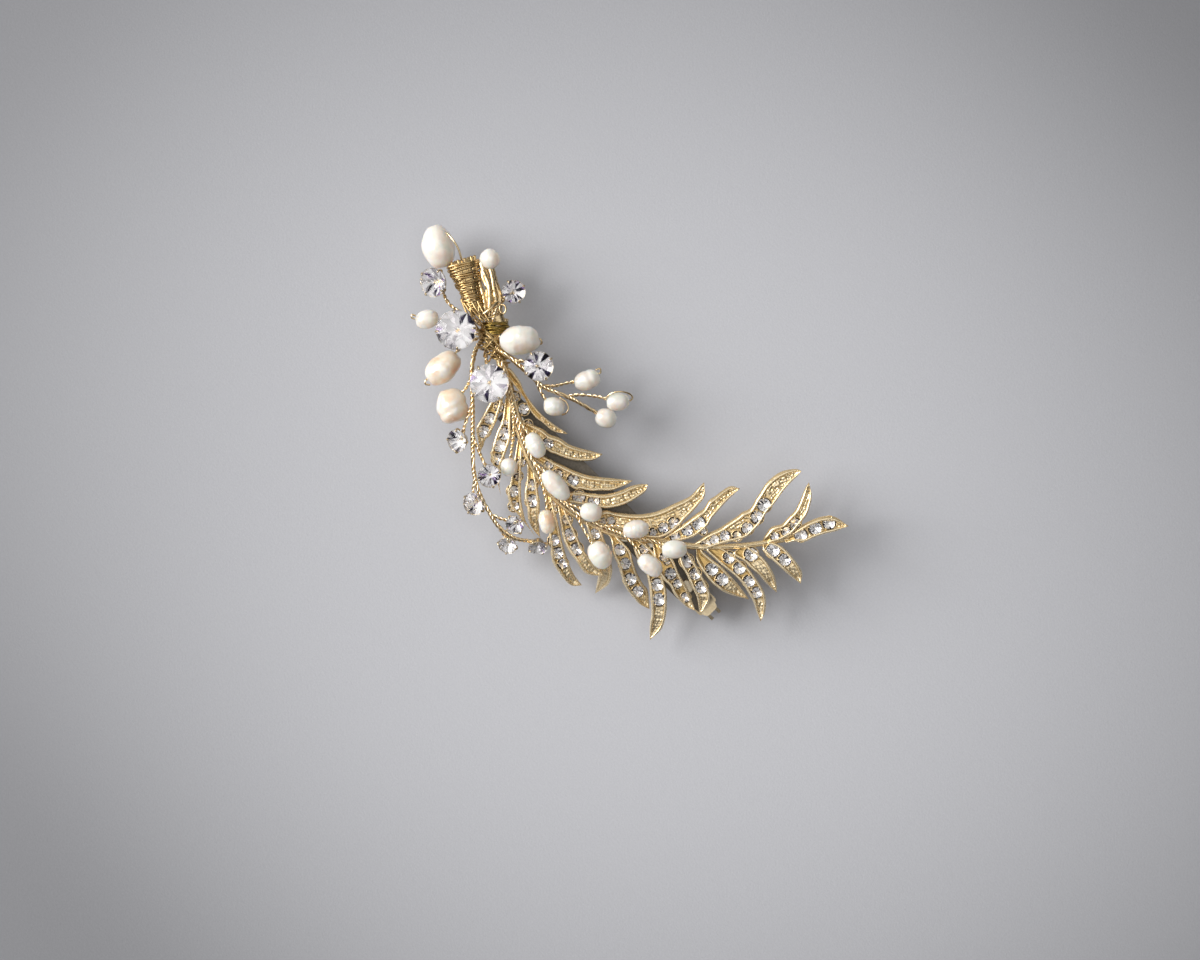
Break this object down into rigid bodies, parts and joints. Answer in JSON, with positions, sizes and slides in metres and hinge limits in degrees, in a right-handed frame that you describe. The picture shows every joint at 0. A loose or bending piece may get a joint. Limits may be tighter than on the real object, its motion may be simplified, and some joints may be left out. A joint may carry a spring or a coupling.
{
  "type": "hair barrette",
  "caption": "Bridal hair barrette: a gold leaf frond set with pavé stones, pearls and crystals on twisted wires, over a spring hair clip with a pinch latch.",
  "frame": {"origin": "middle of the barrette's outline in plan, at the height of the clasp arm's underside, where it rests on a table", "axes": "+X along the hair clip from its hinge towards its latch, +Y towards the hollow side of the curved frond, +Z away from the hair"},
  "size_m": [0.0922, 0.0486, 0.0148],
  "materials": {
    "gold_casting": "gold-plated casting, pale champagne gold, bright rims and matt recesses",
    "gold_wire": "gold-plated craft wire, bright drawn",
    "aged_wire": "fine wire lashing, darkened olive gold",
    "setting_gold": "stamped gold-plated cup, bright",
    "freshwater_pearl": "nacre, creamy white with pink and peach overtones",
    "crystal": "faceted clear crystal, foiled back",
    "clip_steel": "gold-washed stamped steel",
    "spring_steel": "gold-washed spring steel strip",
    "pin_steel": "bright steel, peened ends",
    "solder": "smooth tin solder fillet"
  },
  "bodies": {
    "clip_base": {"base_plate": "clip_steel", "cast_frond": "gold_casting", "cluster_wires": "gold_wire", "crystals_large": "crystal", "crystals_medium": "crystal", "crystals_small": "crystal", "dark_binding": "aged_wire", "frond_wires": "gold_wire", "garland_wires": "gold_wire", "gold_binding": "gold_wire", "hinge_pin": "pin_steel", "latch_rivet": "pin_steel", "latch_saddle": "clip_steel", "pave_stones_large": "crystal", "pave_stones_medium": "crystal", "pave_stones_small": "crystal", "pearl_loop_wire": "gold_wire", "pearls_cluster": "freshwater_pearl", "pearls_frond": "freshwater_pearl", "pearls_small": "freshwater_pearl", "pearls_spray": "freshwater_pearl", "settings_large": "setting_gold", "settings_medium": "setting_gold", "settings_small": "setting_gold", "solder_joints": "solder", "spray_wires": "gold_wire", "stem_strands": "gold_wire", "tail_bundle": "gold_wire", "tail_wrap": "gold_wire"},
    "clasp_arm": {"clasp_arm": "clip_steel"},
    "tension_spring": {"tension_spring": "spring_steel"},
    "latch_prong_left": {"latch_prong_left": "clip_steel"},
    "latch_prong_right": {"latch_prong_right": "clip_steel"}
  },
  "joints": [
    {"name": "clasp_hinge", "type": "hinge", "parent": "clip_base", "child": "clasp_arm", "pos_m": [-0.011, -0.0047, 0.003], "axis": [0, 1, 0], "range_deg": [0, 75]},
    {"name": "spring_flex", "type": "hinge", "parent": "clasp_arm", "child": "tension_spring", "pos_m": [-0.011, -0.0047, 0.003], "axis": [0, 1, 0], "range_deg": [0, 2.2], "stiffness_Nm_per_rad": 0.3},
    {"name": "latch_left_pinch", "type": "hinge", "parent": "clip_base", "child": "latch_prong_left", "pos_m": [0.036, -0.0038, 0.00495], "axis": [-1, 0, 0], "range_deg": [0, 7], "stiffness_Nm_per_rad": 0.02},
    {"name": "latch_right_pinch", "type": "hinge", "parent": "clip_base", "child": "latch_prong_right", "pos_m": [0.036, -0.0056, 0.00495], "axis": [1, 0, 0], "range_deg": [0, 7], "stiffness_Nm_per_rad": 0.02}
  ]
}
